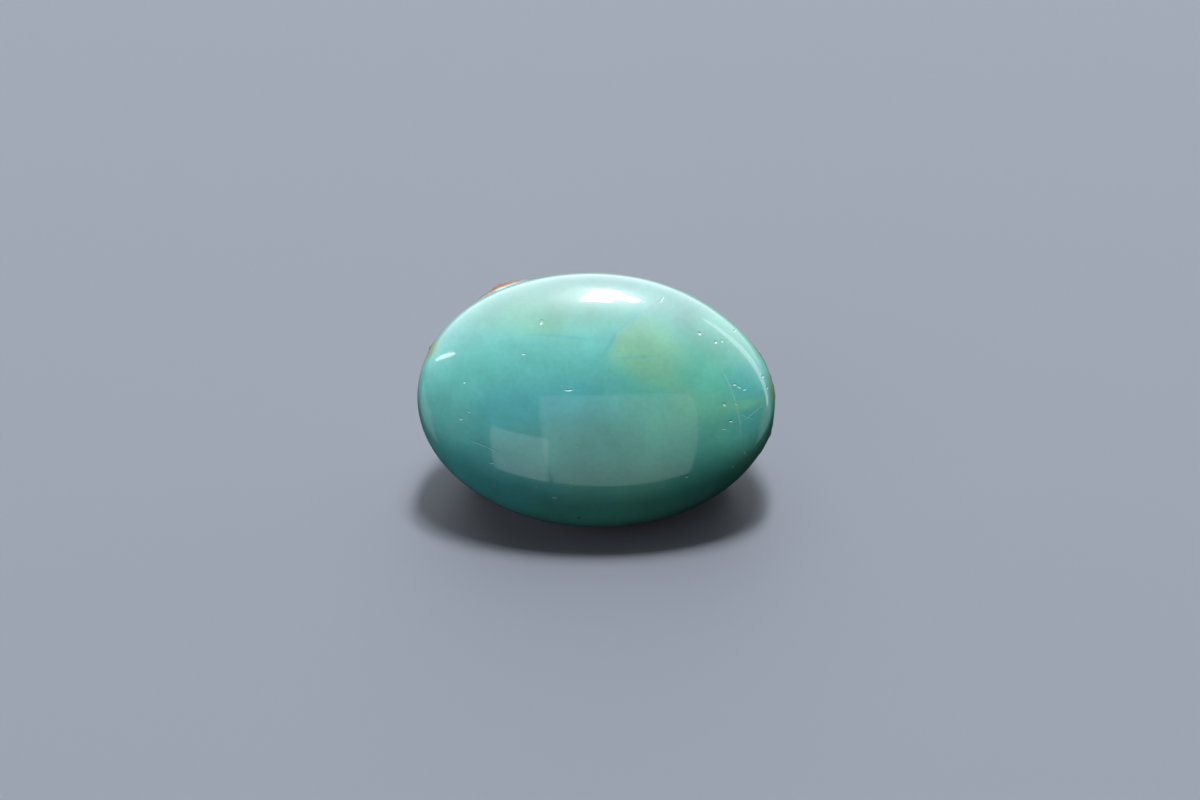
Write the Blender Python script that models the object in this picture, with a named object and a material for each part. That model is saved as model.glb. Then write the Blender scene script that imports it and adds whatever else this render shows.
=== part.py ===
"""Turquoise nugget with one polished face, lying on the flat of its broken underside.

The stone is one solid. Its face is a low oval dome ground and polished from the rough; behind the
oval edge the stone is as it broke: a short wall, sloping breaks, shallow shell-shaped flakes, a
raised brown rind with stepped edges, and small pits. The stone leans back on a flat break, so the
polished face looks forwards and up.

Lengths are given in millimetres and turned to metres in the mesh. +Z is up, the polished face
looks towards -Y, and the origin is under the middle of the stone on the surface it rests on.
"""

import math

import bmesh
import bpy
import numpy as np

MILLIMETRE = 0.001

# Driving dimensions, in millimetres and degrees
FACE_LENGTH = 20.0
FACE_WIDTH = 14.25
DOME_HEIGHT = 3.0
BACK_DEPTH = 6.7
FACE_ELEVATION = 39.0  # of the face's normal, above the horizon
FACE_ROLL = -1.5  # of the long axis, in the plane of the face
EDGE_CENTRE_HEIGHT = 6.8  # of the centre of the oval edge, above the resting surface

# Places on the oval edge are angles round a circle that is stretched to the oval, in degrees,
# anticlockwise from the right-hand end
FLAT_SHOULDER = (42.0, 26.0, -0.018)  # place, width, share of the radius
FULL_SHOULDER = (135.0, 26.0, 0.013)

# The raw part is measured outwards from a point inside the stone, behind the oval edge
CORE_DEPTH = 2.0
ROUNDING_POWER = 26.0  # higher makes the ridges between breaks crisper

# Broken faces: angle round the face, slope towards the back, distance from the core
BREAKS = (
    (0.0, 90.0, 4.7),
    (3.0, 46.0, 7.75),
    (44.0, 42.0, 7.45),
    (76.0, 54.0, 5.95),
    (106.0, 38.0, 6.55),
    (140.0, 50.0, 6.75),
    (176.0, 37.0, 8.45),
    (216.0, 56.0, 7.7),
    (262.0, 66.0, 5.6),
    (316.0, 56.0, 7.75),
)

# Ledge left by a flake at the left-hand end: angle round the face, slope, radius, height
LEDGE = (200.0, 40.0, 2.6, 0.5)
LEDGE_RISE = 0.8

# Rind that stands proud of the polished edge: place, width, height in millimetres
PROUD_RIND = (
    (122.0, 10.5, 0.32),
    (158.0, 5.0, 0.12),
    (14.0, 15.0, 0.11),
    (-14.0, 13.0, 0.10),
)
PROUD_RIND_DEPTH = 1.2  # its middle, behind the oval edge
PROUD_RIND_REACH = 0.9

# Relief of the broken faces: the spacing of what repeats and its height, in millimetres
FLAKE_SPACING, FLAKE_HEIGHT = 3.4, 0.42
FLAKE_LEVEL = 0.35  # squared share of the spacing at which a flake crosses the smooth surface
LUMP_SPACING, LUMP_HEIGHT = 2.2, 0.26
WARP_SPACING, WARP = 2.6, 0.5  # bends the pattern so that nothing in it runs straight
RIND_PATCH_SPACING, RIND_THICKNESS = 4.2, 0.32
RIND_STEP_WIDTH = 0.22  # share of the patch field over which a rind edge rises
RELIEF_FADE = (0.3, 1.8)  # behind the oval edge, where relief begins and is full
GROUND_FLUSH = (3.2, 6.0)  # to the first depth high spots are ground off behind the oval edge
WALL_DRAFT = 0.14  # how far the wall there falls back from the edge

# Pits: angle round the face, slope towards the back, width and depth
PITS = (
    (75.0, 66.0, 1.0, 0.45),
    (150.0, 60.0, 0.9, 0.40),
    (325.0, 62.0, 1.0, 0.45),
    (20.0, 74.0, 0.8, 0.36),
    (190.0, 18.0, 0.8, 0.36),
    (96.0, 24.0, 0.9, 0.34),
)

# Mesh: rings run from the top of the dome over the edge to the back
SEGMENTS = 108
DOME_RINGS = 13
RAW_RINGS = 32
CUT_SNAP = 0.03  # points this near the resting surface are laid on it before the cut

TURQUOISE_COLOUR = (0.20, 0.52, 0.47, 1.0)


def bell(distance, width):
    """A smooth bump, 1 at no distance and near 0 at twice the width."""
    return np.exp(-((distance / width) ** 2))


def angle_between(places, place):
    """How far round the oval each place is from one place, in degrees."""
    return (places - place + 180.0) % 360.0 - 180.0


def smooth_step(value, low, high):
    """0 below low, 1 above high, and an S-curve between them."""
    share = np.clip((value - low) / (high - low), 0.0, 1.0)
    return share * share * (3.0 - 2.0 * share)


def lattice_noise(points, spacing, seed):
    """Smooth noise from -1 to 1: random values on a cubic lattice, blended between its corners."""
    values = np.random.default_rng(seed).uniform(-1.0, 1.0, (16, 16, 16))
    scaled = points / spacing
    cell = np.floor(scaled).astype(int)
    blend = scaled - cell
    blend = blend * blend * (3.0 - 2.0 * blend)
    total = np.zeros(len(points))
    for corner in np.ndindex(2, 2, 2):
        weight = np.prod(np.where(corner, blend, 1.0 - blend), axis=1)
        index = (cell + corner) % 16
        total += weight * values[index[:, 0], index[:, 1], index[:, 2]]
    return total


def nearest_seed(points, spacing, seed):
    """Distance to the nearest of a jittered lattice of seeds, as a share of the spacing."""
    jitter = np.random.default_rng(seed).uniform(0.1, 0.9, (16, 16, 16, 3))
    scaled = points / spacing
    cell = np.floor(scaled).astype(int)
    nearest = np.full(len(points), np.inf)
    for offset in np.ndindex(3, 3, 3):
        neighbour = cell + np.array(offset) - 1
        index = neighbour % 16
        place = neighbour + jitter[index[:, 0], index[:, 1], index[:, 2]]
        nearest = np.minimum(nearest, np.linalg.norm(scaled - place, axis=1))
    return nearest


def outline_share(places):
    """How far the oval edge departs from a true ellipse, as a factor on its radius."""
    share = np.ones_like(places)
    for place, width, height in (FLAT_SHOULDER, FULL_SHOULDER):
        share += height * bell(angle_between(places, place), width)
    return share


def direction(place, slope):
    """Unit vector in the stone's own axes: along the face, up the face, out of the face."""
    turn, tilt = math.radians(place), math.radians(slope)
    return np.array(
        [
            math.cos(turn) * math.cos(tilt),
            math.sin(turn) * math.cos(tilt),
            -math.sin(tilt),
        ]
    )


def raw_distance(ways, places):
    """Distance from the core to the raw surface along each way, before relief.

    The wall and the breaks are blended by a high-power mean, which rounds the ridges between them.
    """
    share = outline_share(places)
    across = np.hypot(
        ways[:, 0] / (share * FACE_LENGTH / 2), ways[:, 1] / (share * FACE_WIDTH / 2)
    )
    closeness = across**ROUNDING_POWER
    for place, slope, distance in BREAKS:
        facing = np.clip(ways @ direction(place, slope), 0.0, None)
        closeness += (facing / distance) ** ROUNDING_POWER
    return closeness ** (-1.0 / ROUNDING_POWER)


def raw_spot(place, slope):
    """The point of the raw surface that one direction from the core meets."""
    way = direction(place, slope)
    spot = way * raw_distance(way[None], np.array([place]))
    return spot - np.array([0.0, 0.0, CORE_DEPTH])


def cover_with_proud_rind(height, points, places):
    """Lay the rind that shows past the polished edge over the relief there."""
    near_edge = bell(points[:, 2] + PROUD_RIND_DEPTH, PROUD_RIND_REACH)
    for place, width, rise in PROUD_RIND:
        cover = near_edge * bell(angle_between(places, place), width)
        height = height * (1.0 - cover) + rise * cover
    return height


def relief(points):
    """Height of the broken surface over the smooth raw surface: flakes, lumps and rind."""
    bend = [lattice_noise(points, WARP_SPACING, seed) for seed in (11, 12, 13)]
    warped = points + WARP * np.stack(bend, axis=1)
    flakes = FLAKE_HEIGHT * (nearest_seed(warped, FLAKE_SPACING, 21) ** 2 - FLAKE_LEVEL)
    lumps = LUMP_HEIGHT * lattice_noise(warped, LUMP_SPACING, 23)
    patches = lattice_noise(warped, RIND_PATCH_SPACING, 24)
    rind = RIND_THICKNESS * smooth_step(patches, -RIND_STEP_WIDTH, RIND_STEP_WIDTH)
    height = flakes + lumps + rind - RIND_THICKNESS
    place, slope, radius, step = LEDGE
    reach = np.linalg.norm(warped - raw_spot(place, slope), axis=1)
    height += step * smooth_step(-reach, -radius - LEDGE_RISE, -radius)
    for place, slope, width, depth in PITS:
        reach = np.linalg.norm(points - raw_spot(place, slope), axis=1)
        height -= depth * bell(reach, width)
    ground = smooth_step(-points[:, 2], *GROUND_FLUSH)
    fade = smooth_step(-points[:, 2], *RELIEF_FADE)
    return fade * np.minimum(height, ground - WALL_DRAFT * (1.0 - ground))


def dome_point(turn, places):
    """A ring of the polished dome: turn runs from 0 at its top to a quarter turn at the edge."""
    share = outline_share(places) * math.sin(turn)
    angle = np.radians(places)
    return np.stack(
        [
            share * FACE_LENGTH / 2 * np.cos(angle),
            share * FACE_WIDTH / 2 * np.sin(angle),
            np.full_like(places, DOME_HEIGHT * math.cos(turn)),
        ],
        axis=1,
    )


def raw_point(turn, places, smooth=False):
    """A ring of the raw part: turn is the angle at the core, from the face's normal."""
    angle = np.radians(places)
    ways = np.stack(
        [
            FACE_LENGTH / 2 * np.cos(angle) * math.sin(turn),
            FACE_WIDTH / 2 * np.sin(angle) * math.sin(turn),
            np.full_like(places, (BACK_DEPTH - CORE_DEPTH) * math.cos(turn)),
        ],
        axis=1,
    )
    ways /= np.linalg.norm(ways, axis=1)[:, None]
    core = np.array([0.0, 0.0, -CORE_DEPTH])
    points = core + ways * raw_distance(ways, places)[:, None]
    if smooth:
        return points
    height = cover_with_proud_rind(relief(points), points, places)
    return points + ways * height[:, None]


def even_turns(edge):
    """Angles of the raw rings that space them evenly along the stone, from the edge to the back."""
    turns = np.linspace(edge, math.pi, 400)
    quarters = np.array([20.0, 110.0, 200.0, 290.0])
    track = np.array([raw_point(turn, quarters, smooth=True) for turn in turns])
    steps = np.linalg.norm(np.diff(track, axis=0), axis=2).mean(axis=1)
    travelled = np.concatenate([[0.0], np.cumsum(steps)])
    stops = np.linspace(0.0, travelled[-1], RAW_RINGS + 2)[1:-1]
    return np.interp(stops, travelled, turns)


def stone_rings():
    """Every ring of the surface, in the stone's own axes, between the two poles."""
    places = np.arange(SEGMENTS) * 360.0 / SEGMENTS
    edge = math.atan2(BACK_DEPTH - CORE_DEPTH, CORE_DEPTH)
    dome_turns = np.linspace(0.0, math.pi / 2, DOME_RINGS + 1)[1:]
    raw_turns = even_turns(edge)
    rings = [dome_point(turn, places) for turn in dome_turns]
    rings += [raw_point(turn, places) for turn in raw_turns]
    return rings


def lay_down(points):
    """Turn the stone's own axes to the pose it lies in, in millimetres, over the surface."""
    roll, lift = math.radians(FACE_ROLL), math.radians(FACE_ELEVATION)
    right = points[:, 0] * math.cos(roll) - points[:, 1] * math.sin(roll)
    up = points[:, 0] * math.sin(roll) + points[:, 1] * math.cos(roll)
    out = points[:, 2]
    return np.stack(
        [
            right,
            up * math.sin(lift) - out * math.cos(lift),
            up * math.cos(lift) + out * math.sin(lift) + EDGE_CENTRE_HEIGHT,
        ],
        axis=1,
    )


def closed_surface(rings):
    """Vertices and faces of stacked rings, closed by a pole at the face and one at the back."""
    count = len(rings)
    back = rings[-1].mean(axis=0)
    vertices = np.vstack([[[0.0, 0.0, DOME_HEIGHT]], *rings, [back]])
    faces = []
    for side in range(SEGMENTS):
        following = (side + 1) % SEGMENTS
        faces.append((0, 1 + side, 1 + following))
        for ring in range(count - 1):
            near = 1 + ring * SEGMENTS
            far = near + SEGMENTS
            faces.append((near + side, far + side, far + following))
            faces.append((near + side, far + following, near + following))
        last = 1 + (count - 1) * SEGMENTS
        faces.append((last + side, len(vertices) - 1, last + following))
    return vertices, faces


def cut_resting_face(mesh):
    """Cut the stone off flat at the surface it rests on and close the cut."""
    work = bmesh.new()
    work.from_mesh(mesh)
    for vertex in work.verts:
        if abs(vertex.co.z) < CUT_SNAP * MILLIMETRE:
            vertex.co.z = 0.0
    everything = work.verts[:] + work.edges[:] + work.faces[:]
    bmesh.ops.bisect_plane(
        work,
        geom=everything,
        dist=CUT_SNAP * MILLIMETRE / 10,
        plane_co=(0.0, 0.0, 0.0),
        plane_no=(0.0, 0.0, 1.0),
        clear_inner=True,
    )
    rim = [edge for edge in work.edges if edge.is_boundary]
    bmesh.ops.holes_fill(work, edges=rim, sides=0)
    bmesh.ops.recalc_face_normals(work, faces=work.faces[:])
    work.to_mesh(mesh)
    work.free()


def centre_over_origin(mesh):
    """Slide the stone so that the middle of its bounding box stands over the origin."""
    places = np.array([vertex.co[:] for vertex in mesh.vertices])
    middle = (places.min(axis=0) + places.max(axis=0)) / 2
    for vertex in mesh.vertices:
        vertex.co.x -= middle[0]
        vertex.co.y -= middle[1]


def stone_material():
    """Polished blue-green turquoise, the colour that most of the stone shows."""
    material = bpy.data.materials.new("turquoise")
    material.use_nodes = True
    shader = material.node_tree.nodes["Principled BSDF"]
    shader.inputs["Base Color"].default_value = TURQUOISE_COLOUR
    shader.inputs["Roughness"].default_value = 0.2
    shader.inputs["IOR"].default_value = 1.62
    return material


def build_nugget():
    """The whole stone as one closed solid."""
    vertices, faces = closed_surface(stone_rings())
    placed = lay_down(vertices) * MILLIMETRE
    mesh = bpy.data.meshes.new("turquoise_nugget")
    mesh.from_pydata(placed.tolist(), [], faces)
    cut_resting_face(mesh)
    centre_over_origin(mesh)
    mesh.materials.append(stone_material())
    nugget = bpy.data.objects.new("turquoise_nugget", mesh)
    bpy.context.scene.collection.objects.link(nugget)
    return nugget


def main():
    for existing in list(bpy.data.objects):
        bpy.data.objects.remove(existing, do_unlink=True)
    build_nugget()


main()
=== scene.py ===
"""Looks of a turquoise nugget with one polished face, lying on its broken underside.

The stone is one piece of numpy surface that stands for the solid: a polished oval dome in front
and a raw broken back. One material covers it, because it is one rock: turquoise, ground and
polished on the face, left as it broke elsewhere, with brown limonite host rock on the back.

Stone axes, in millimetres: x along the oval's length, y up the face, z out of the face, and the
zero at the centre of the oval edge.
"""

import math

import bpy
import numpy as np
from mathutils import Euler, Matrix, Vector


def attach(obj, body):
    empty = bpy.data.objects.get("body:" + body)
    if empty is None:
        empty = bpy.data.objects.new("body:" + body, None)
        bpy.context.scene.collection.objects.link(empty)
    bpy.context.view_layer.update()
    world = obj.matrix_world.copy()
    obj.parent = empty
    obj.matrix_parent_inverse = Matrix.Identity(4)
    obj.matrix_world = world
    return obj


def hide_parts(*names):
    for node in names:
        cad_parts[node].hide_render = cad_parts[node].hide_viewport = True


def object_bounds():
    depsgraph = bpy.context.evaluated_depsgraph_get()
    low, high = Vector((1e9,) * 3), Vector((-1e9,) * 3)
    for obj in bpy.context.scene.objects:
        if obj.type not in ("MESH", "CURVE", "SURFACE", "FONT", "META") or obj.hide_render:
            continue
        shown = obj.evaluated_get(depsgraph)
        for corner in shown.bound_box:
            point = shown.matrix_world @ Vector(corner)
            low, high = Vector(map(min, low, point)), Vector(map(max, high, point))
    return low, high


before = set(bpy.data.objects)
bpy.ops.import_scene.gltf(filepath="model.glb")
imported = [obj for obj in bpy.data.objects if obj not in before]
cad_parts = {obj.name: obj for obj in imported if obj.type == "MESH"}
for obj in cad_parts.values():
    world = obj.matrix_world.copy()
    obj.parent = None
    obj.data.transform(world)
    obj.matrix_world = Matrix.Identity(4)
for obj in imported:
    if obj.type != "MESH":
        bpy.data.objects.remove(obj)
SOLID_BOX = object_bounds()

MILLIMETRE = 0.001

# The stone's forms, as in the solid: millimetres and degrees
FACE_LENGTH = 20.0
FACE_WIDTH = 14.25
DOME_HEIGHT = 3.0
BACK_DEPTH = 6.7
FACE_ELEVATION = 39.0
FACE_ROLL = -1.5
EDGE_CENTRE_HEIGHT = 6.8
FLAT_SHOULDER = (42.0, 26.0, -0.018)  # place round the oval, width, share of the radius
FULL_SHOULDER = (135.0, 26.0, 0.013)
CORE_DEPTH = 2.0  # of the point behind the face that the raw surface is measured from
ROUNDING_POWER = 26.0  # the higher, the sharper the ridges between breaks

# Broken faces: place round the oval, slope towards the back, distance from the core
BREAKS = (
    (0.0, 90.0, 4.7),
    (3.0, 46.0, 7.75),
    (44.0, 42.0, 7.45),
    (76.0, 54.0, 5.95),
    (106.0, 38.0, 6.55),
    (140.0, 50.0, 6.75),
    (176.0, 37.0, 8.45),
    (216.0, 56.0, 7.7),
    (262.0, 66.0, 5.6),
    (316.0, 56.0, 7.75),
)
LEDGE = (200.0, 40.0, 2.6, 0.5)  # place, slope, radius and step
LEDGE_RISE = 0.5  # distance over which the step rises

# Rind that stands proud of the polished edge: place, width, height
PROUD_RIND = (
    (122.0, 10.5, 0.32),
    (158.0, 5.0, 0.05),
    (14.0, 15.0, 0.11),
    (-14.0, 13.0, 0.10),
)
PROUD_RIND_DEPTH = 1.2  # of its middle behind the oval edge
PROUD_RIND_REACH = 0.9

# Pits: place round the oval, slope towards the back, width and depth
PITS = (
    (75.0, 66.0, 1.0, 0.45),
    (150.0, 60.0, 0.9, 0.40),
    (325.0, 62.0, 1.0, 0.45),
    (20.0, 74.0, 0.8, 0.36),
    (190.0, 18.0, 0.8, 0.36),
    (96.0, 24.0, 0.9, 0.34),
)

# Relief of the broken faces: spacing and height of what repeats
FLAKE_SPACING, FLAKE_HEIGHT, FLAKE_LEVEL = 3.4, 0.42, 0.35
LUMP_SPACING, LUMP_HEIGHT = 2.2, 0.26
WARP_SPACING, WARP = 2.6, 0.5
RIND_PATCH_SPACING, RIND_THICKNESS, RIND_STEP_WIDTH = 4.2, 0.32, 0.10
RELIEF_FADE = (0.3, 1.8)  # depths behind the oval edge between which the relief sets in
GROUND_FLUSH = (3.2, 6.0)  # depths between which the relief may rise over the ground wall
WALL_DRAFT = 0.14  # how far the ground wall leans in

# How the rind's edge frays: spacing, height and seed of the noise
RIND_FRAY = ((0.7, 0.10, 31), (0.3, 0.05, 32))
GRAIN_ON_TURQUOISE = 0.45  # share of the grain's height, where there is no rind
PROUD_RIND_SHOWN = (0.25, 0.5)  # cover from which rind starts to show, and shows whole

# Finer relief that only the looks have
CHIP_SPACING, CHIP_HEIGHT = 1.15, 0.16
GRAIN_SPACING, GRAIN_HEIGHT = 0.55, 0.09
FINE_GRAIN_SPACING, FINE_GRAIN_HEIGHT = 0.26, 0.045
WORN_EDGE_POWER = 90.0  # rounds the edge of the flat underside by less than 0.1 mm
POLISH_WAVE_SPACING, POLISH_WAVE_HEIGHT = 3.6, 0.012
POLISH_REACH = 0.30  # how far behind the oval edge the wheel went
POLISH_WANDER_SPACING, POLISH_WANDER = 2.4, 0.22
POLISH_EDGE = 0.05  # half the width over which the polish stops

# Grid of the surface
SEGMENTS = 512
DOME_RINGS = 60
RAW_RINGS = 130
MERIDIANS = (20.0, 110.0, 200.0, 290.0)  # along which the raw rings are spaced
MERIDIAN_STEPS = 400

# Colours: copper makes turquoise blue, and iron turns it green and olive; the host is limonite
BLUE_TURQUOISE = "#50B4BB"
TEAL_TURQUOISE = "#5CB9B2"
GREEN_TURQUOISE = "#5FBDA8"
PALE_BLUE = "#66C3BE"
LEAF_TURQUOISE = "#70C3A4"
OLIVE_TURQUOISE = "#7AC0A0"
DEEP_GREEN_AND_SHADE = "#46A499"
CRACK_BLUE = "#4BA5B0"
# Painted shade: a darker teal for the lower face, which the key light from above reaches least
PAINTED_LOW_SHADE = "#408C87"
# Painted shade for the upper rim, which the key light from above lights most
PAINTED_RIM_SHADE = "#3E7571"
OLIVE_SKIN = "#6E9A6C"
SPECK_DARK = "#16352F"
LIMONITE_BROWN = "#925531"
DARK_IRON = "#3A2216"
TAN_HOST = "#A8855E"
OLIVE_HOST = "#6A7657"
CHALKY_TURQUOISE = "#7FB3A6"
# White of the chips, and of one painted glint
CHIP_AND_GLINT_WHITE = "#C4DAD4"
FLOOR_GREY = "#707681"

# Zones of colour on the face: x, y, half length, half width, turn and strength
BLUE_ZONES = (
    (-3.6, -0.2, 6.5, 2.6, 4.0, 0.9),
    (-6.0, -4.6, 6.0, 4.0, -35.0, 0.8),
    (8.9, 0.2, 2.4, 4.0, 0.0, 0.6),
)
LEAF_ZONE = (-2.8, 4.7, 5.6, 3.6, -8.0, 0.9)
LEAF_BAND = (5.8, -0.6, 4.2, 1.3, 10.0, 0.45)
PALE_BLUE_ZONES = (
    (-0.3, 3.1, 2.6, 2.6, 40.0, 0.7),
    (-6.5, 2.6, 3.5, 2.4, 30.0, 0.5),
    (-4.2, 1.9, 7.0, 2.4, 4.0, 0.7),
    (-8.6, 0.0, 3.0, 3.6, 0.0, 0.7),
)
# Deeper green at the lower right and along the bottom edge: partly the stone's green, partly
# painted shade
DEEP_GREEN_AND_SHADE_ZONES = ((6.0, -4.6, 4.0, 3.0, 30.0, 0.9), (-1.0, -7.2, 9.0, 3.0, 0.0, 0.5))
OLIVE_ZONE = (2.5, 2.9, 3.6, 2.3, -25.0, 1.0)
OLIVE_TAIL = (4.4, 0.9, 2.6, 1.0, -50.0, 0.5)
GREEN_VEIN = (7.9, -0.35, 2.6, 0.42, 11.0, 0.8)
CRACK_UPPER = (2.15, 4.6, 1.5, 0.20, 40.0, 0.5)
CRACK_LOWER = (0.75, 3.1, 1.2, 0.18, 62.0, 0.35)
LEAF_EDGE = (-1.8, 3.5, 2.4, 0.14, -4.0, 0.35)
OLIVE_EDGE = (2.3, 2.35, 1.6, 0.14, 4.0, 0.3)
# Painted shade: ovals that darken the upper rim and shoulders against the key light from above
SHADED_RIMS = (
    (0.0, 8.6, 14.0, 5.8, 0.0, 0.95),
    (6.0, 4.6, 4.6, 2.6, -35.0, 0.5),
    (-6.8, 5.0, 4.2, 2.4, 35.0, 0.5),
    (3.8, 5.6, 3.4, 1.8, -12.0, 0.3),
    (-3.6, 5.4, 3.4, 1.8, 12.0, 0.3),
)
# Painted shade: ovals that darken the lower half of the face
PAINTED_LOW_SHADE_ZONES = (
    (0.5, -3.2, 8.5, 3.8, 0.0, 0.42),
    (0.1, -3.0, 2.4, 3.4, 0.0, 0.4),
)
OLIVE_SKIN_RIMS = (
    (-9.2, 2.75, 1.0, 0.30, 59.0, 0.9),
    (8.7, 3.35, 2.2, 0.40, -52.0, 0.5),
    (9.85, 0.5, 1.6, 0.32, -80.0, 0.8),
)
BROWN_CORNER = (-5.4, 6.4, 4.4, 3.4, 35.0, 1.0)
OLIVE_RIMS = (
    (10.0, 1.0, 2.0, 5.4, 0.0, 0.8),
    (-9.4, 2.6, 1.6, 2.0, 0.0, 1.0),
    (-3.4, 7.1, 1.2, 0.8, 15.0, 0.9),
)
DARK_SPECK = (-0.95, -6.60, 0.14, 0.06, 0.0, 1.0)

# Chips and scratches of the polish, and one painted glint at the top of the crack: x, y, half
# length, half width, turn and strength
MARKS_AND_GLINT = (
    (-3.02, 4.31, 0.20, 0.12, 70.0, 0.9),
    (-4.00, 2.55, 0.09, 0.08, 0.0, 0.6),
    (-7.30, 0.98, 0.08, 0.07, 0.0, 0.8),
    (-7.48, -1.06, 0.12, 0.07, 0.0, 0.8),
    (-7.05, -0.66, 0.16, 0.05, -20.0, 0.4),
    (-5.80, -3.50, 0.14, 0.06, 10.0, 0.8),
    (-1.06, -2.58, 0.09, 0.07, 0.0, 0.5),
    (-3.30, -4.85, 0.07, 0.05, 60.0, 0.5),
    (-1.29, -4.55, 0.06, 0.06, 0.0, 0.5),
    (-1.51, 0.53, 0.34, 0.06, 3.0, 1.0),
    (-2.30, -5.43, 0.24, 0.035, -5.0, 0.9),
    # Painted highlight: a white glint where the top of the crack catches the light
    (3.64, 5.54, 0.24, 0.08, 50.0, 0.7),
    (5.74, 3.70, 0.13, 0.10, -40.0, 0.9),
    (6.65, 3.22, 0.10, 0.09, 70.0, 0.6),
    (7.00, 3.26, 0.07, 0.12, 0.0, 0.6),
    (7.39, 2.74, 0.07, 0.06, 0.0, 0.5),
    (7.73, 3.86, 0.12, 0.07, 20.0, 0.7),
    (7.70, 0.84, 0.10, 0.06, 20.0, 0.9),
    (7.95, 0.73, 0.16, 0.06, -25.0, 0.8),
    (8.25, 0.58, 0.12, 0.05, 10.0, 0.8),
    (9.30, 1.29, 0.09, 0.09, 0.0, 0.8),
    (9.55, 0.67, 0.06, 0.09, 0.0, 0.8),
    (7.14, -0.25, 0.09, 0.16, 20.0, 1.0),
    (7.78, -0.24, 0.07, 0.05, 0.0, 0.7),
    (7.50, -1.18, 0.13, 0.07, 0.0, 0.9),
    (7.10, -1.62, 0.16, 0.04, 0.0, 0.5),
    (8.30, -2.95, 0.20, 0.05, -60.0, 0.8),
    (8.58, -3.32, 0.14, 0.05, 40.0, 0.8),
    (7.62, -3.75, 0.16, 0.06, 55.0, 0.9),
    (5.04, -4.26, 0.08, 0.07, 0.0, 0.6),
    (-6.20, -2.55, 1.30, 0.035, -21.8, 0.35),
    (8.70, -0.75, 1.00, 0.04, 38.0, 0.35),
    (8.45, -0.95, 0.80, 0.05, -20.0, 0.2),
)
ARC_SCRATCH = (0.65, -2.18, 7.41, 0.045)  # x and y of the centre, radius and half width
ARC_WINDOW = (7.75, 0.0, 1.6, 3.2, 8.0, 0.35)

# Camera and light: metres, degrees and watts
CAMERA_ELEVATION = 39.0
CAMERA_DISTANCE = 0.250
CAMERA_LENS = 134.0
AIM_RIGHT = 0.00022
AIM_UP = -0.00001
LIGHT_DISTANCE = 1.0
FLOOR_SIZE = 4.0
SKY_COLOUR = "#E4EAF0"
SKY_ELEVATION = 138.0  # of its brightest place, measured from the front over the top
SKY_START, SKY_END = 0.0, 90.0  # from the brightest place, where it starts to dim and stops
SKY_BRIGHT, SKY_DIM = 5.0, 0.04
HORIZON_TOP = 12.0  # elevation from which the sky has its full strength
HORIZON_SHARE = 0.28  # of that strength, at and below the horizon

# Lights: name, azimuth, elevation, roll, width, height, power, and whether body and gloss show it
LIGHTS = (
    ("key light", 169.0, 77.3, 0.0, 0.115, 0.30, 10.2, True, True),
    ("key light's edge", 143.0, 76.0, 0.0, 0.14, 0.10, 2.4, True, True),
    ("back fill", 190.0, 45.0, 0.0, 1.2, 1.0, 4.0, True, False),
    ("front fill", -45.0, 28.0, 0.0, 1.2, 0.6, 2.4, True, False),
    ("left fill", -105.0, 8.0, 0.0, 0.8, 0.5, 2.2, True, False),
    ("right fill", 115.0, 8.0, 0.0, 0.8, 0.5, 1.8, True, False),
    ("left card", -89.5, 32.5, -43.5, 0.055, 0.50, 0.52, False, True),
    ("right card", 101.0, 24.0, -21.0, 0.22, 1.15, 1.45, False, True),
    ("front card", 7.0, 18.5, 0.0, 0.67, 0.83, 1.12, False, True),
    ("front side card", -20.1, 9.0, 0.0, 0.30, 0.46, 0.37, False, True),
    ("low left card", -88.0, -10.0, 0.0, 0.60, 0.45, 0.45, False, True),
    ("low right card", 88.0, -10.0, 0.0, 0.60, 0.45, 0.45, False, True),
)
ROUNDED = ("left card", "right card")  # ovals; the others are rectangles

# Depth of what the material only shades
RAW_GRAIN_DEPTH = 0.00016
FINE_GRAIN_SHARE = 0.45  # of the grain's depth, on turquoise
CHIP_DEPTH = 0.00004
CHIP_BUMP = 0.7
CHIP_COVER = 0.6  # how much of the body colour the white of the chips and of the painted glint hides

# Gloss: turquoise refracts by 1.62 and takes a waxy polish over its porous grains
TURQUOISE_IOR = 1.62
GRAIN_IOR = 1.4
WAX_SHEEN_ROUGHNESS = 0.06
POLISH_ROUGHNESS = (0.30, 0.42)
RAW_ROUGHNESS = 0.8
GLOW = 0.08  # share of the light that comes back from under the surface
GLOW_REACH = (0.3, 0.6, 0.55)  # millimetres that red, green and blue go
BOARD_ROUGHNESS, BOARD_GLOSS = 0.7, 0.2  # of the floor

# Lines across the face where a colour changes: a point, the far side's heading, and softness
GREEN_SIDE = ((2.2, 0.0), -14.0, 3.2)
LEAF_SIDE = ((-2.0, 3.4), 86.0, 0.55)
UPPER_CRACK_SIDE = ((1.18, 3.81), -49.5, 0.25)
LOWER_CRACK_SIDE = ((1.18, 3.81), -23.3, 0.45)

# How far noise moves a pattern's edges: spacing and reach, in millimetres
ZONE_BEND = (2.4, 1.5)
LINE_BEND = (0.9, 0.22)
CHIP_BEND = (0.18, 0.12)
VEINLET_BEND = (1.1, 0.9)

# Patterns of the rock: how many of each lie along a millimetre
CLOUDS_PER_MM = 0.55
FLECKS_PER_MM = 3.5
CHALK_CLOUDS_PER_MM = 1.4
VEINLET_CELLS_PER_MM = 0.55
VEINLET_PATCHES_PER_MM = 0.5
HOST_PATCHES_PER_MM = 0.45
HOST_GRAINS_PER_MM = 4.0
RIND_FRAY_PER_MM = 5.0
COARSE_GRAINS_PER_MM = 3.2
FINE_GRAINS_PER_MM = 7.0
SMEARS_PER_MM = 0.8

# An oval zone: nearness to its centre from which it has full strength, and how deep it goes
ZONE_PLATEAU = 0.75
ANY_DEPTH = 1000.0


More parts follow.
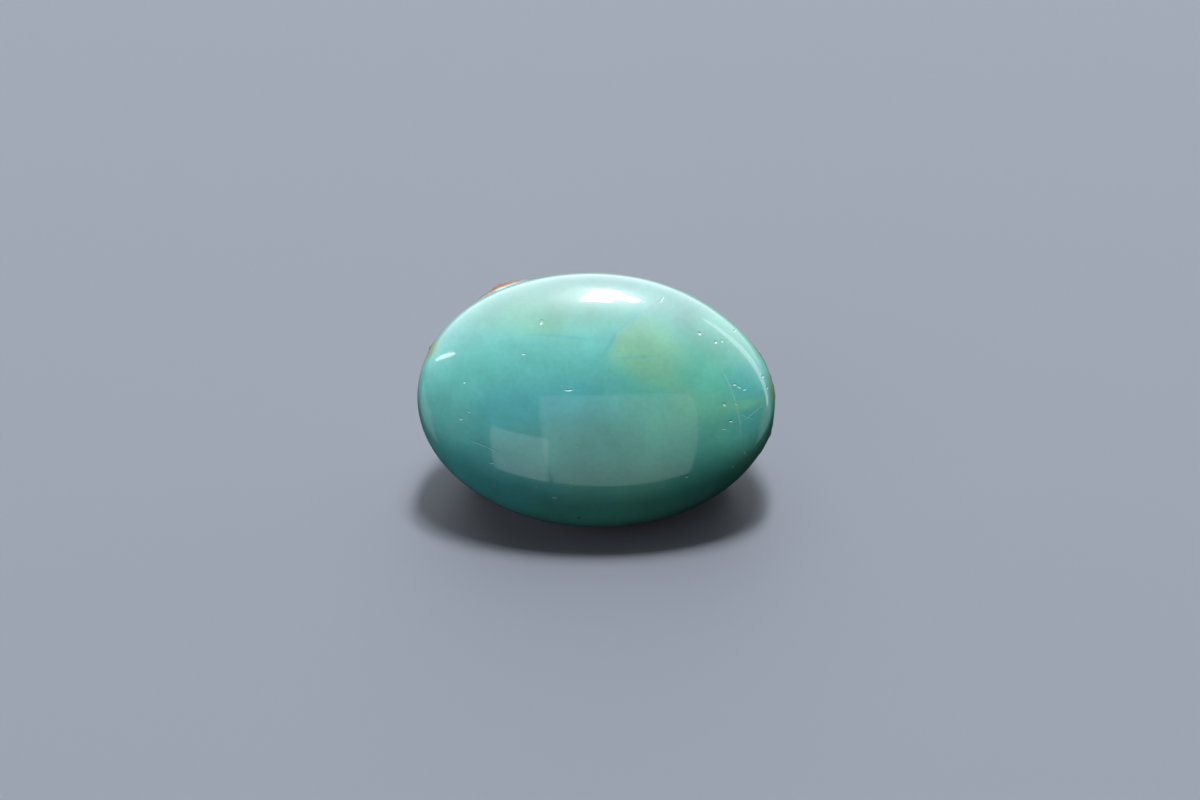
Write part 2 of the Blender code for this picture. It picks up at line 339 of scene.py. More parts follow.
def bell(distance, width):
    """exp(-(distance / width) squared): a smooth bump of height 1."""
    return np.exp(-((distance / width) ** 2))


def angle_between(places, place):
    """Signed angle from one place round the oval to the others, wrapped to half a turn."""
    return (places - place + 180.0) % 360.0 - 180.0


def smooth_step(value, low, high):
    """3 s squared - 2 s cubed, where s runs from 0 at low to 1 at high."""
    share = np.clip((value - low) / (high - low), 0.0, 1.0)
    return share * share * (3.0 - 2.0 * share)


def lattice_noise(points, spacing, seed):
    """Random values from -1 to 1 on a cubic lattice, blended smoothly between its corners."""
    values = np.random.default_rng(seed).uniform(-1.0, 1.0, (16, 16, 16))
    scaled = points / spacing
    cell = np.floor(scaled).astype(int)
    blend = scaled - cell
    blend = blend * blend * (3.0 - 2.0 * blend)
    total = np.zeros(len(points))
    for corner in np.ndindex(2, 2, 2):
        weight = np.prod(np.where(corner, blend, 1.0 - blend), axis=1)
        index = (cell + corner) % 16
        total += weight * values[index[:, 0], index[:, 1], index[:, 2]]
    return total


def nearest_seed(points, spacing, seed):
    """Distance to the nearest of a jittered lattice of seeds, as a share of the spacing."""
    jitter = np.random.default_rng(seed).uniform(0.1, 0.9, (16, 16, 16, 3))
    scaled = points / spacing
    cell = np.floor(scaled).astype(int)
    nearest = np.full(len(points), np.inf)
    for offset in np.ndindex(3, 3, 3):
        neighbour = cell + np.array(offset) - 1
        index = neighbour % 16
        place = neighbour + jitter[index[:, 0], index[:, 1], index[:, 2]]
        nearest = np.minimum(nearest, np.linalg.norm(scaled - place, axis=1))
    return nearest


def outline_share(places):
    """1 plus a bell for each shoulder: the factor on the oval's radius at each place."""
    share = np.ones_like(places)
    for place, width, height in (FLAT_SHOULDER, FULL_SHOULDER):
        share += height * bell(angle_between(places, place), width)
    return share


def direction(place, slope):
    """Unit vector at an angle round the oval, sloping towards the back."""
    turn, tilt = math.radians(place), math.radians(slope)
    flat = math.cos(tilt)
    return np.array([math.cos(turn) * flat, math.sin(turn) * flat, -math.sin(tilt)])


def raw_distance(ways, places):
    """Distance from the core along each way to the wall or the nearest break.

    Each gives 1 over its distance; the powers of these are summed and the root is taken, which is
    their maximum with rounded ridges.
    """
    share = outline_share(places)
    across = np.hypot(
        ways[:, 0] / (share * FACE_LENGTH / 2), ways[:, 1] / (share * FACE_WIDTH / 2)
    )
    closeness = across**ROUNDING_POWER
    for place, slope, distance in BREAKS:
        facing = np.clip(ways @ direction(place, slope), 0.0, None)
        closeness += (facing / distance) ** ROUNDING_POWER
    return closeness ** (-1.0 / ROUNDING_POWER)


def raw_spot(place, slope):
    """The point of the raw surface that one direction from the core meets."""
    way = direction(place, slope)
    spot = way * raw_distance(way[None], np.array([place]))
    return spot - np.array([0.0, 0.0, CORE_DEPTH])


def proud_cover(points, places):
    """How much each rind that stands proud covers the surface, and the height it gives it."""
    near_edge = bell(points[:, 2] + PROUD_RIND_DEPTH, PROUD_RIND_REACH)
    covers = []
    for place, width, rise in PROUD_RIND:
        covers.append((near_edge * bell(angle_between(places, place), width), rise))
    return covers


def rind_cover(points, warped):
    """A step across the zero line of a lattice noise, frayed by finer noise: 1 on the rind."""
    patches = lattice_noise(warped, RIND_PATCH_SPACING, 24)
    for spacing, height, seed in RIND_FRAY:
        patches = patches + height * lattice_noise(points, spacing, seed)
    return smooth_step(patches, -RIND_STEP_WIDTH, RIND_STEP_WIDTH)


def relief(points, places):
    """Height of the broken surface over the smooth one, and how much of it is rind.

    Shell-shaped flakes and chips are squared distances to scattered seeds; lumps and grain are
    lattice noise; the rind, the ledge and the pits are steps and bells. Near the oval edge the
    height is cut down to what grinding left.
    """
    bend = [lattice_noise(points, WARP_SPACING, seed) for seed in (11, 12, 13)]
    warped = points + WARP * np.stack(bend, axis=1)
    rind = rind_cover(points, warped)
    height = FLAKE_HEIGHT * (nearest_seed(warped, FLAKE_SPACING, 21) ** 2 - FLAKE_LEVEL)
    height += LUMP_HEIGHT * lattice_noise(warped, LUMP_SPACING, 23)
    height += RIND_THICKNESS * (rind - 1.0)
    height += CHIP_HEIGHT * (nearest_seed(warped, CHIP_SPACING, 22) ** 2 - FLAKE_LEVEL)
    place, slope, radius, step = LEDGE
    reach = np.linalg.norm(warped - raw_spot(place, slope), axis=1)
    height += step * smooth_step(-reach, -radius - LEDGE_RISE, -radius)
    for place, slope, width, depth in PITS:
        reach = np.linalg.norm(points - raw_spot(place, slope), axis=1)
        height -= depth * bell(reach, width)
    ground = smooth_step(-points[:, 2], *GROUND_FLUSH)
    height = np.minimum(height, ground - WALL_DRAFT * (1.0 - ground))
    grain = GRAIN_HEIGHT * lattice_noise(points, GRAIN_SPACING, 25)
    grain += FINE_GRAIN_HEIGHT * lattice_noise(points, FINE_GRAIN_SPACING, 26)
    height += (GRAIN_ON_TURQUOISE + (1.0 - GRAIN_ON_TURQUOISE) * rind) * grain
    height *= smooth_step(-points[:, 2], *RELIEF_FADE)
    for cover, rise in proud_cover(points, places):
        height = height * (1.0 - cover) + (rise + grain) * cover
        rind = np.maximum(rind, smooth_step(cover, *PROUD_RIND_SHOWN))
    return height, rind


def dome_points(turns, places):
    """Quarter ellipse from the dome's top to the oval edge, swept round it, with faint waves."""
    share = outline_share(places) * np.sin(turns)
    angle = np.radians(places)
    points = np.stack(
        [
            share * FACE_LENGTH / 2 * np.cos(angle),
            share * FACE_WIDTH / 2 * np.sin(angle),
            DOME_HEIGHT * np.cos(turns),
        ],
        axis=1,
    )
    wave = POLISH_WAVE_HEIGHT * lattice_noise(points, POLISH_WAVE_SPACING, 27)
    points[:, 2] += wave * np.cos(turns)
    return points


def raw_ways(turns, places):
    """Unit vectors from the core: the turn is from the face's normal, stretched to the oval."""
    angle = np.radians(places)
    ways = np.stack(
        [
            FACE_LENGTH / 2 * np.cos(angle) * np.sin(turns),
            FACE_WIDTH / 2 * np.sin(angle) * np.sin(turns),
            (BACK_DEPTH - CORE_DEPTH) * np.cos(turns),
        ],
        axis=1,
    )
    return ways / np.linalg.norm(ways, axis=1)[:, None]


def distance_to_floor(ways):
    """Height of the core over how fast each way falls; beyond reach where it doesn't fall."""
    roll, lift = math.radians(FACE_ROLL), math.radians(FACE_ELEVATION)
    down = -np.array(
        [math.sin(roll) * math.cos(lift), math.cos(roll) * math.cos(lift), math.sin(lift)]
    )
    core_height = EDGE_CENTRE_HEIGHT - CORE_DEPTH * math.sin(lift)
    return core_height / np.clip(ways @ down, 0.01, None)


def raw_points(turns, places):
    """Core plus way times distance: the smooth raw surface, its relief, and the flat underside."""
    ways = raw_ways(turns, places)
    core = np.array([0.0, 0.0, -CORE_DEPTH])
    distance = raw_distance(ways, places)
    smooth = core + ways * distance[:, None]
    height, rind = relief(smooth, places)
    closeness = (distance + height) ** -WORN_EDGE_POWER
    closeness += distance_to_floor(ways) ** -WORN_EDGE_POWER
    points = core + ways * (closeness ** (-1.0 / WORN_EDGE_POWER))[:, None]
    reach = POLISH_REACH + POLISH_WANDER * lattice_noise(smooth, POLISH_WANDER_SPACING, 28)
    polish = 1.0 - smooth_step(-smooth[:, 2] - reach, -POLISH_EDGE, POLISH_EDGE)
    return points, rind, polish


def even_turns(edge):
    """Angles that space the raw rings evenly: equal shares of the length of four meridians."""
    turns = np.linspace(edge, math.pi, MERIDIAN_STEPS)
    steps = np.zeros(len(turns) - 1)
    for place in MERIDIANS:
        places = np.full_like(turns, place)
        ways = raw_ways(turns, places)
        track = ways * raw_distance(ways, places)[:, None]
        steps += np.linalg.norm(np.diff(track, axis=0), axis=1)
    travelled = np.concatenate([[0.0], np.cumsum(steps)])
    stops = np.linspace(0.0, travelled[-1], RAW_RINGS + 2)[1:-1]
    return np.interp(stops, travelled, turns)


def lay_down(points):
    """Roll about the face's normal, lean back to the face's elevation, and lift off the floor."""
    roll, lift = math.radians(FACE_ROLL), math.radians(FACE_ELEVATION)
    right = points[:, 0] * math.cos(roll) - points[:, 1] * math.sin(roll)
    up = points[:, 0] * math.sin(roll) + points[:, 1] * math.cos(roll)
    out = points[:, 2]
    return np.stack(
        [
            right,
            up * math.sin(lift) - out * math.cos(lift),
            up * math.cos(lift) + out * math.sin(lift) + EDGE_CENTRE_HEIGHT,
        ],
        axis=1,
    )


def grid_faces(rings, segments):
    """Triangles of stacked closed rings, with a pole before the first and after the last."""
    side = np.arange(segments)
    following = (side + 1) % segments
    ring = np.arange(rings - 1)[:, None] * segments + 1
    lower = np.stack([ring + side, ring + side + segments, ring + following + segments], axis=2)
    upper = np.stack([ring + side, ring + following + segments, ring + following], axis=2)
    last = 1 + (rings - 1) * segments
    front = np.stack([np.zeros_like(side), 1 + side, 1 + following], axis=1)
    back = np.stack([last + side, np.full_like(side, last + segments), last + following], axis=1)
    return np.vstack([front, lower.reshape(-1, 3), upper.reshape(-1, 3), back])


def stone_surface():
    """Vertices, triangles, rind and polish of the whole stone, in millimetres on the floor."""
    places = np.arange(SEGMENTS) * 360.0 / SEGMENTS
    edge = math.atan2(BACK_DEPTH - CORE_DEPTH, CORE_DEPTH)
    dome_turns = np.linspace(0.0, math.pi / 2, DOME_RINGS + 1)[1:]
    front = dome_points(np.repeat(dome_turns, SEGMENTS), np.tile(places, DOME_RINGS))
    back, rind, polish = raw_points(
        np.repeat(even_turns(edge), SEGMENTS), np.tile(places, RAW_RINGS)
    )
    top = np.array([[0.0, 0.0, DOME_HEIGHT]])
    top[0, 2] += POLISH_WAVE_HEIGHT * lattice_noise(top, POLISH_WAVE_SPACING, 27)[0]
    pole = back[-SEGMENTS:].mean(axis=0)[None]
    vertices = lay_down(np.vstack([top, front, back, pole]))
    shown = len(top) + len(front)
    rind = np.concatenate([np.zeros(shown), rind, rind[-1:]])
    polish = np.concatenate([np.ones(shown), polish, polish[-1:]])
    return vertices, grid_faces(DOME_RINGS + RAW_RINGS, SEGMENTS), rind, polish


def solid_middle():
    """Middle of the solid's box over the floor, in millimetres."""
    low, high = SOLID_BOX
    return np.array([(low[0] + high[0]) / 2, (low[1] + high[1]) / 2, 0.0]) / MILLIMETRE


def build_nugget():
    """The stone as one mesh that stands for the solid, with rind and polish kept per point."""
    vertices, faces, rind, polish = stone_surface()
    middle = (vertices.min(axis=0) + vertices.max(axis=0)) / 2
    middle[2] = 0.0
    shift = solid_middle() - middle
    placed = (vertices + shift) * MILLIMETRE
    mesh = bpy.data.meshes.new("nugget")
    mesh.from_pydata(placed.tolist(), [], faces.tolist())
    for name, values in (("rind", rind), ("polish", polish)):
        layer = mesh.attributes.new(name, "FLOAT", "POINT")
        layer.data.foreach_set("value", values.astype(np.float32))
    mesh.shade_smooth()
    nugget = bpy.data.objects.new("nugget", mesh)
    bpy.context.scene.collection.objects.link(nugget)
    return nugget, Vector(shift) + Vector((0.0, 0.0, EDGE_CENTRE_HEIGHT))


def linear(code):
    """sRGB hex to linear colour with full alpha."""
    parts = [int(code[start : start + 2], 16) / 255.0 for start in (1, 3, 5)]
    curve = [p / 12.92 if p <= 0.04045 else ((p + 0.055) / 1.055) ** 2.4 for p in parts]
    return (*curve, 1.0)


def add_node(tree, kind, inputs=None, output=None, **settings):
    """Add a node, set its properties, fill or link its shown inputs, and return one output.

    An input is given by its name or, where two share a name, by its number. A hex colour is made
    linear, and a socket is linked. The output is the first one shown, unless it is named.
    """
    node = tree.nodes.new("ShaderNode" + kind)
    for name, value in settings.items():
        setattr(node, name, value)
    for name, value in (inputs or {}).items():
        shown = [s for s in node.inputs if s.enabled]
        socket = shown[name] if isinstance(name, int) else next(s for s in shown if s.name == name)
        if isinstance(value, bpy.types.NodeSocket):
            tree.links.new(value, socket)
        elif isinstance(value, str):
            socket.default_value = linear(value)
        else:
            socket.default_value = value
    return next(s for s in node.outputs if s.enabled and output in (None, s.name))


def zone(tree, place, oval):
    """An oval on the face, at any depth: its strength at the centre, fading to 0 at its edge.

    The oval is x, y, half length, half width, turn and strength.
    """
    x, y, half_length, half_width, turn, strength = oval
    local = add_node(
        tree,
        "Mapping",
        {
            "Vector": place,
            "Location": (x, y, 0.0),
            "Rotation": (0.0, 0.0, math.radians(turn)),
            "Scale": (half_length, half_width, ANY_DEPTH),
        },
        vector_type="TEXTURE",
    )
    nearness = add_node(
        tree, "TexGradient", {"Vector": local}, "Fac", gradient_type="SPHERICAL"
    )
    limits = {"Value": nearness, "From Max": ZONE_PLATEAU, "To Max": strength}
    return add_node(tree, "MapRange", limits, interpolation_type="SMOOTHSTEP")


def stain(tree, place, colour, tint, ovals):
    """Tint a colour in each of some ovals of the face."""
    for oval in ovals:
        factor = zone(tree, place, oval)
        colour = add_node(
            tree, "Mix", {"Factor": factor, "A": colour, "B": tint}, data_type="RGBA"
        )
    return colour


def beyond_line(tree, place, line):
    """0 on the near side of a straight line across the face and 1 on its far side.

    The line is a point on it, the heading of its far side, and half the width of the change.
    """
    point, heading, softness = line
    angle = math.radians(heading)
    normal = (math.cos(angle), math.sin(angle), 0.0)
    offset = point[0] * normal[0] + point[1] * normal[1]
    along = add_node(tree, "VectorMath", {0: place, 1: normal}, operation="DOT_PRODUCT")
    limits = {"Value": along, "From Min": offset - softness, "From Max": offset + softness}
    return add_node(tree, "MapRange", limits, interpolation_type="SMOOTHSTEP")


def face_place(tree, edge_centre):
    """Object coordinates turned and scaled to millimetres across, up and out of the face."""
    turn = Euler((math.radians(FACE_ELEVATION - 90.0), 0.0, 0.0))
    centre = edge_centre.copy()
    centre.rotate(turn)
    coordinates = add_node(tree, "TexCoord", output="Object")
    return add_node(
        tree,
        "Mapping",
        {
            "Vector": coordinates,
            "Location": -centre,
            "Rotation": turn,
            "Scale": (1.0 / MILLIMETRE,) * 3,
        },
    )


def bent_place(tree, place, spacing, reach):
    """The place moved about by noise, so that a pattern's edges wander."""
    noise = add_node(
        tree, "TexNoise", {"Vector": place, "Scale": 1.0 / spacing, "Detail": 3.0}, "Color"
    )
    centred = add_node(tree, "VectorMath", {0: noise, 1: (0.5, 0.5, 0.5)}, operation="SUBTRACT")
    moved = add_node(tree, "VectorMath", {0: centred, "Scale": reach}, operation="SCALE")
    return add_node(tree, "VectorMath", {0: place, 1: moved}, operation="ADD")


def face_colour(tree, place):
    """Zones of blue and green in the turquoise, from the mineral's copper and iron.

    Blue lies to the left and green to the right of a healed crack, which is a fine bluer line. Leaf
    green and olive zones are richer in iron, and the olive one ends crisply at the crack. Painted
    shade darkens the lower part of the face and the upper rim, and olive skin shows at both ends.
    """
    bent = bent_place(tree, place, *ZONE_BEND)
    wavy = bent_place(tree, place, *LINE_BEND)
    right = beyond_line(tree, bent, GREEN_SIDE)
    colour = add_node(
        tree,
        "Mix",
        {"Factor": right, "A": TEAL_TURQUOISE, "B": GREEN_TURQUOISE},
        data_type="RGBA",
    )
    colour = stain(tree, bent, colour, BLUE_TURQUOISE, BLUE_ZONES)
    above = beyond_line(tree, wavy, LEAF_SIDE)
    leaf = zone(tree, bent, LEAF_ZONE)
    leaf = add_node(tree, "Math", {0: leaf, 1: above}, operation="MULTIPLY")
    colour = add_node(
        tree, "Mix", {"Factor": leaf, "A": colour, "B": LEAF_TURQUOISE}, data_type="RGBA"
    )
    colour = stain(tree, bent, colour, LEAF_TURQUOISE, [LEAF_BAND])
    colour = stain(tree, bent, colour, PALE_BLUE, PALE_BLUE_ZONES)
    upper = beyond_line(tree, wavy, UPPER_CRACK_SIDE)
    lower = beyond_line(tree, wavy, LOWER_CRACK_SIDE)
    olive = zone(tree, bent, OLIVE_ZONE)
    olive = add_node(tree, "Math", {0: olive, 1: upper}, operation="MULTIPLY")
    olive = add_node(tree, "Math", {0: olive, 1: lower}, operation="MULTIPLY")
    colour = add_node(
        tree, "Mix", {"Factor": olive, "A": colour, "B": OLIVE_TURQUOISE}, data_type="RGBA"
    )
    colour = stain(tree, bent, colour, OLIVE_TURQUOISE, [OLIVE_TAIL])
    # Deeper green low on the face, partly the stone's own and partly painted shade
    colour = stain(tree, bent, colour, DEEP_GREEN_AND_SHADE, DEEP_GREEN_AND_SHADE_ZONES)
    # Painted shade: darker low on the face and on the upper rim
    colour = stain(tree, bent, colour, PAINTED_LOW_SHADE, PAINTED_LOW_SHADE_ZONES)
    colour = stain(tree, bent, colour, PAINTED_RIM_SHADE, SHADED_RIMS)
    colour = stain(tree, wavy, colour, OLIVE_SKIN, OLIVE_SKIN_RIMS)
    colour = stain(tree, wavy, colour, LEAF_TURQUOISE, [GREEN_VEIN])
    lines = [CRACK_UPPER, CRACK_LOWER, LEAF_EDGE, OLIVE_EDGE]
    colour = stain(tree, wavy, colour, CRACK_BLUE, lines)
    return stain(tree, wavy, colour, SPECK_DARK, [DARK_SPECK])


def mottled(tree, place, colour):
    """Cloudy lighter and darker flecks, a quarter of a millimetre to two millimetres across."""
    cloud = add_node(
        tree,
        "TexNoise",
        {"Vector": place, "Scale": CLOUDS_PER_MM, "Detail": 5.0, "Roughness": 0.55},
    )
    shade = add_node(
        tree,
        "MapRange",
        {"Value": cloud, "From Min": 0.3, "From Max": 0.7, "To Min": 0.9, "To Max": 1.1},
    )
    fleck = add_node(
        tree,
        "TexNoise",
        {"Vector": place, "Scale": FLECKS_PER_MM, "Detail": 4.0, "Roughness": 0.6},
    )
    grain = add_node(
        tree,
        "MapRange",
        {"Value": fleck, "From Min": 0.3, "From Max": 0.7, "To Min": 0.95, "To Max": 1.05},
    )
    value = add_node(tree, "Math", {0: shade, 1: grain}, operation="MULTIPLY")
    return add_node(tree, "HueSaturation", {"Color": colour, "Value": value})


def chips_scratches_and_glint(tree, place):
    """Up to 1 in the small chips, along the scratches of the polish and in one painted glint, 0
    elsewhere.

    The longest scratch follows a circle: it is where the distance from the centre differs from the
    radius by less than the half width.
    """
    ragged = bent_place(tree, place, *CHIP_BEND)
    x, y, radius, half_width = ARC_SCRATCH
    flat = add_node(tree, "VectorMath", {0: ragged, 1: (1.0, 1.0, 0.0)}, operation="MULTIPLY")
    reach = add_node(tree, "VectorMath", {0: flat, 1: (x, y, 0.0)}, operation="DISTANCE")
    line = add_node(tree, "Math", {0: reach, 1: radius, 2: half_width}, operation="COMPARE")
    window = zone(tree, place, ARC_WINDOW)
    marks_and_glint = add_node(tree, "Math", {0: line, 1: window}, operation="MULTIPLY")
    for oval in MARKS_AND_GLINT:
        mark = zone(tree, ragged, oval)
        marks_and_glint = add_node(tree, "Math", {0: marks_and_glint, 1: mark}, operation="MAXIMUM")
    return marks_and_glint


def ragged_rind(tree, place, rind):
    """The rind's cover with its edge frayed by fine noise and made crisp."""
    fray = add_node(
        tree,
        "TexNoise",
        {"Vector": place, "Scale": RIND_FRAY_PER_MM, "Detail": 5.0, "Roughness": 0.65},
    )
    frayed = add_node(tree, "Math", {0: fray, 1: 0.7, 2: rind}, operation="MULTIPLY_ADD")
    limits = {"Value": frayed, "From Min": 0.80, "From Max": 0.90}
    return add_node(tree, "MapRange", limits, interpolation_type="SMOOTHSTEP")


def iron_veinlets(tree, place):
    """Hair-thin lines between the cells of a bent Voronoi pattern, shown only in patches."""
    bent = bent_place(tree, place, *VEINLET_BEND)
    edges = add_node(
        tree,
        "TexVoronoi",
        {"Vector": bent, "Scale": VEINLET_CELLS_PER_MM},
        feature="DISTANCE_TO_EDGE",
    )
    lines = add_node(tree, "MapRange", {"Value": edges, "From Min": 0.035, "From Max": 0.008})
    patches = add_node(
        tree, "TexNoise", {"Vector": place, "Scale": VEINLET_PATCHES_PER_MM, "Detail": 3.0}
    )
    shown = add_node(
        tree, "MapRange", {"Value": patches, "From Min": 0.46, "From Max": 0.58, "To Max": 0.85}
    )
    return add_node(tree, "Math", {0: lines, 1: shown}, operation="MULTIPLY")


def raw_colour(tree, place, turquoise, rind):
    """Brown and olive limonite over chalky turquoise, with dark iron specks and tan grains."""
    clouds = add_node(
        tree,
        "TexNoise",
        {"Vector": place, "Scale": CHALK_CLOUDS_PER_MM, "Detail": 6.0, "Roughness": 0.65},
    )
    whiter = add_node(
        tree,
        "MapRange",
        {"Value": clouds, "From Min": 0.35, "From Max": 0.65, "To Min": 0.25, "To Max": 0.9},
    )
    chalk = add_node(
        tree, "Mix", {"Factor": whiter, "A": turquoise, "B": CHALKY_TURQUOISE}, data_type="RGBA"
    )
    veinlets = iron_veinlets(tree, place)
    chalk = add_node(
        tree, "Mix", {"Factor": veinlets, "A": chalk, "B": LIMONITE_BROWN}, data_type="RGBA"
    )
    patches = add_node(
        tree,
        "TexNoise",
        {"Vector": place, "Scale": HOST_PATCHES_PER_MM, "Detail": 6.0, "Roughness": 0.65},
    )
    browner = add_node(tree, "MapRange", {"Value": patches, "From Min": 0.44, "From Max": 0.54})
    corner = zone(tree, place, BROWN_CORNER)
    browner = add_node(tree, "Math", {0: browner, 1: corner}, operation="MAXIMUM")
    for oval in OLIVE_RIMS:
        rim = zone(tree, place, oval)
        browner = add_node(
            tree, "Math", {0: browner, 1: rim}, operation="SUBTRACT", use_clamp=True
        )
    host = add_node(
        tree, "Mix", {"Factor": browner, "A": OLIVE_HOST, "B": LIMONITE_BROWN}, data_type="RGBA"
    )
    grains = add_node(
        tree,
        "TexNoise",
        {"Vector": place, "Scale": HOST_GRAINS_PER_MM, "Detail": 7.0, "Roughness": 0.75},
    )
    tan = add_node(
        tree, "MapRange", {"Value": grains, "From Min": 0.52, "From Max": 0.64, "To Max": 0.65}
    )
    host = add_node(tree, "Mix", {"Factor": tan, "A": host, "B": TAN_HOST}, data_type="RGBA")
    dark = add_node(
        tree, "MapRange", {"Value": grains, "From Min": 0.47, "From Max": 0.36, "To Max": 0.85}
    )
    host = add_node(tree, "Mix", {"Factor": dark, "A": host, "B": DARK_IRON}, data_type="RGBA")
    return add_node(tree, "Mix", {"Factor": rind, "A": chalk, "B": host}, data_type="RGBA")


def raw_height(tree, place, rind):
    """Grain of the break, from a third of a millimetre down: coarse on rind, fine on turquoise."""
    coarse = add_node(
        tree,
        "TexNoise",
        {"Vector": place, "Scale": COARSE_GRAINS_PER_MM, "Detail": 8.0, "Roughness": 0.7},
    )
    fine = add_node(
        tree,
        "TexNoise",
        {"Vector": place, "Scale": FINE_GRAINS_PER_MM, "Detail": 5.0, "Roughness": 0.6},
    )
    fine = add_node(tree, "Math", {0: fine, 1: FINE_GRAIN_SHARE}, operation="MULTIPLY")
    return add_node(tree, "Mix", {"Factor": rind, "A": fine, "B": coarse}, data_type="FLOAT")


def turquoise_in_limonite(edge_centre):
    """Turquoise in limonite host rock, its face ground and polished and the rest as it broke.

    The polish is hard and waxy, so the face mirrors lights in soft-edged shapes under a
    cloudy body colour; the break is dull and granular.
    """
    material = bpy.data.materials.new("polished turquoise in limonite")
    material.use_nodes = True
    tree = material.node_tree
    shader = tree.nodes["Principled BSDF"]
    place = face_place(tree, edge_centre)
    rind = add_node(tree, "Attribute", output="Fac", attribute_name="rind")
    polish = add_node(tree, "Attribute", output="Fac", attribute_name="polish")

    turquoise = mottled(tree, place, face_colour(tree, place))
    # Chips, scratches and one painted glint, all whitened in the colour
    marks_and_glint = chips_scratches_and_glint(tree, place)
    chipped_and_glint = add_node(tree, "Math", {0: marks_and_glint, 1: CHIP_COVER}, operation="MULTIPLY")
    face = add_node(
        tree, "Mix", {"Factor": chipped_and_glint, "A": turquoise, "B": CHIP_AND_GLINT_WHITE}, data_type="RGBA"
    )
    rind = ragged_rind(tree, place, rind)
    raw = raw_colour(tree, place, turquoise, rind)
    colour = add_node(tree, "Mix", {"Factor": polish, "A": raw, "B": face}, data_type="RGBA")
    tree.links.new(colour, shader.inputs["Base Color"])

    smears = add_node(
        tree,
        "TexNoise",
        {"Vector": place, "Scale": SMEARS_PER_MM, "Detail": 5.0, "Roughness": 0.6},
    )
    gloss = add_node(
        tree,
        "MapRange",
        {
            "Value": smears,
            "From Min": 0.3,
            "From Max": 0.7,
            "To Min": POLISH_ROUGHNESS[0],
            "To Max": POLISH_ROUGHNESS[1],
        },
    )
    roughness = add_node(
        tree, "Mix", {"Factor": polish, "A": RAW_ROUGHNESS, "B": gloss}, data_type="FLOAT"
    )
    tree.links.new(roughness, shader.inputs["Roughness"])
    tree.links.new(polish, shader.inputs["Coat Weight"])

    depth = add_node(tree, "Math", {0: 1.0, 1: polish}, operation="SUBTRACT")
    rough_bump = add_node(
        tree,
        "Bump",
        {"Strength": depth, "Distance": RAW_GRAIN_DEPTH, "Height": raw_height(tree, place, rind)},
    )
    sunk = add_node(tree, "Math", {0: marks_and_glint, 1: polish}, operation="MULTIPLY")
    chip_bump = add_node(
        tree,
        "Bump",
        {"Strength": CHIP_BUMP, "Distance": CHIP_DEPTH, "Height": sunk, "Normal": rough_bump},
        invert=True,
    )
    tree.links.new(chip_bump, shader.inputs["Normal"])
    tree.links.new(chip_bump, shader.inputs["Coat Normal"])

    shader.inputs["IOR"].default_value = GRAIN_IOR
    shader.inputs["Coat IOR"].default_value = TURQUOISE_IOR
    shader.inputs["Coat Roughness"].default_value = WAX_SHEEN_ROUGHNESS
    shader.inputs["Subsurface Weight"].default_value = GLOW
    shader.inputs["Subsurface Radius"].default_value = GLOW_REACH
    shader.inputs["Subsurface Scale"].default_value = MILLIMETRE
    return material


def floor_material():
    """Matt painted board: even pale grey with hardly any gloss."""
    material = bpy.data.materials.new("matt painted board")
    material.use_nodes = True
    shader = material.node_tree.nodes["Principled BSDF"]
    shader.inputs["Base Color"].default_value = linear(FLOOR_GREY)
    shader.inputs["Roughness"].default_value = BOARD_ROUGHNESS
    shader.inputs["Specular IOR Level"].default_value = BOARD_GLOSS
    return material


def build_floor():
    """A flat square at zero height, which throws no light or reflection back on to the stone."""
    half = FLOOR_SIZE / 2
    corners = [(-half, -half, 0.0), (half, -half, 0.0), (half, half, 0.0), (-half, half, 0.0)]
    mesh = bpy.data.meshes.new("floor")
    mesh.from_pydata(corners, [], [(0, 1, 2, 3)])
    mesh.materials.append(floor_material())
    floor = bpy.data.objects.new("floor", mesh)
    floor.visible_diffuse = False
    floor.visible_glossy = False
    bpy.context.scene.collection.objects.link(floor)


def add_panel(target, name, azimuth, elevation, roll, width, height, power):
    """A soft flat light that faces the target from an azimuth and an elevation.

    Azimuth 0 is in front of the stone, 90 to its right and 180 behind it.
    """
    turn, lift = math.radians(azimuth), math.radians(elevation)
    away = Vector(
        (math.sin(turn) * math.cos(lift), -math.cos(turn) * math.cos(lift), math.sin(lift))
    )
    light = bpy.data.lights.new(name, "AREA")
    light.shape = "ELLIPSE" if name in ROUNDED else "RECTANGLE"
    light.size, light.size_y = width, height
    light.energy = power
    panel = bpy.data.objects.new(name, light)
    panel.location = target + away * LIGHT_DISTANCE
    rolled = Euler((0.0, 0.0, math.radians(roll))).to_quaternion()
    panel.rotation_euler = (away.to_track_quat("Z", "Y") @ rolled).to_euler()
    bpy.context.scene.collection.objects.link(panel)
    return panel


def light_the_stone(target):
    """A key light over the stone, soft fills without a mirror image, and cards for the gloss."""
    for *panel_values, lights_body, shows_in_gloss in LIGHTS:
        panel = add_panel(target, *panel_values)
        panel.visible_diffuse = lights_body
        panel.visible_glossy = shows_in_gloss


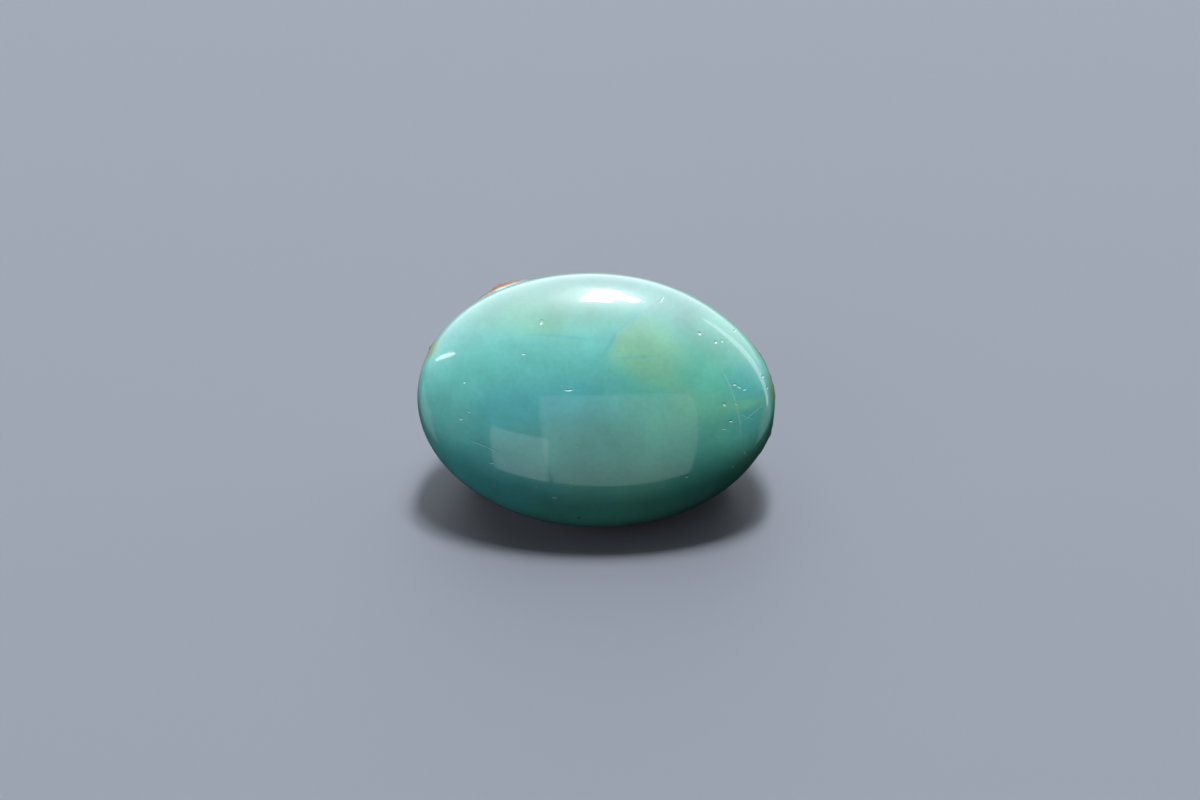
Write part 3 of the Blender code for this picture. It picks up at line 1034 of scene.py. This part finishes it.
def light_the_room():
    """Soft sky for the gloss: a smooth step from its brightest place to a dim front.

    Below the horizon it has a share of that strength, as a pale floor would.
    """
    lift = math.radians(SKY_ELEVATION)
    brightest = (0.0, -math.cos(lift), math.sin(lift))
    world = bpy.data.worlds.new("soft sky")
    world.use_nodes = True
    tree = world.node_tree
    way = add_node(tree, "TexCoord", output="Generated")
    nearness = add_node(tree, "VectorMath", {0: way, 1: brightest}, operation="DOT_PRODUCT")
    strength = add_node(
        tree,
        "MapRange",
        {
            "Value": nearness,
            "From Min": math.cos(math.radians(SKY_END)),
            "From Max": math.cos(math.radians(SKY_START)),
            "To Min": SKY_DIM,
            "To Max": SKY_BRIGHT,
        },
        interpolation_type="SMOOTHSTEP",
    )
    height = add_node(tree, "SeparateXYZ", {"Vector": way}, "Z")
    horizon = {
        "Value": height,
        "From Max": math.sin(math.radians(HORIZON_TOP)),
        "To Min": HORIZON_SHARE,
    }
    share = add_node(tree, "MapRange", horizon, interpolation_type="SMOOTHSTEP")
    strength = add_node(tree, "Math", {0: strength, 1: share}, operation="MULTIPLY")
    background = tree.nodes["Background"]
    background.inputs["Color"].default_value = linear(SKY_COLOUR)
    tree.links.new(strength, background.inputs["Strength"])
    bpy.context.scene.world = world
    world.cycles_visibility.diffuse = False


def add_camera(edge_centre):
    """A long lens square on to the face, aimed a little right of the oval's centre."""
    lift = math.radians(CAMERA_ELEVATION)
    away = Vector((0.0, -math.cos(lift), math.sin(lift)))
    up = Vector((0.0, math.sin(lift), math.cos(lift)))
    aim = edge_centre * MILLIMETRE + Vector((AIM_RIGHT, 0.0, 0.0)) + up * AIM_UP
    data = bpy.data.cameras.new("camera")
    data.lens = CAMERA_LENS
    data.clip_start = 0.01
    camera = bpy.data.objects.new("camera", data)
    camera.location = aim + away * CAMERA_DISTANCE
    camera.rotation_euler = away.to_track_quat("Z", "Y").to_euler()
    bpy.context.scene.collection.objects.link(camera)
    bpy.context.scene.camera = camera


def main():
    """Build the stone and its floor, light them, aim the camera, and set the view transform."""
    nugget, edge_centre = build_nugget()
    nugget.data.materials.append(turquoise_in_limonite(edge_centre))
    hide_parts("turquoise_nugget")
    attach(nugget, "root")
    build_floor()
    light_the_stone(edge_centre * MILLIMETRE)
    light_the_room()
    add_camera(edge_centre)
    bpy.context.scene.view_settings.view_transform = "Standard"


main()
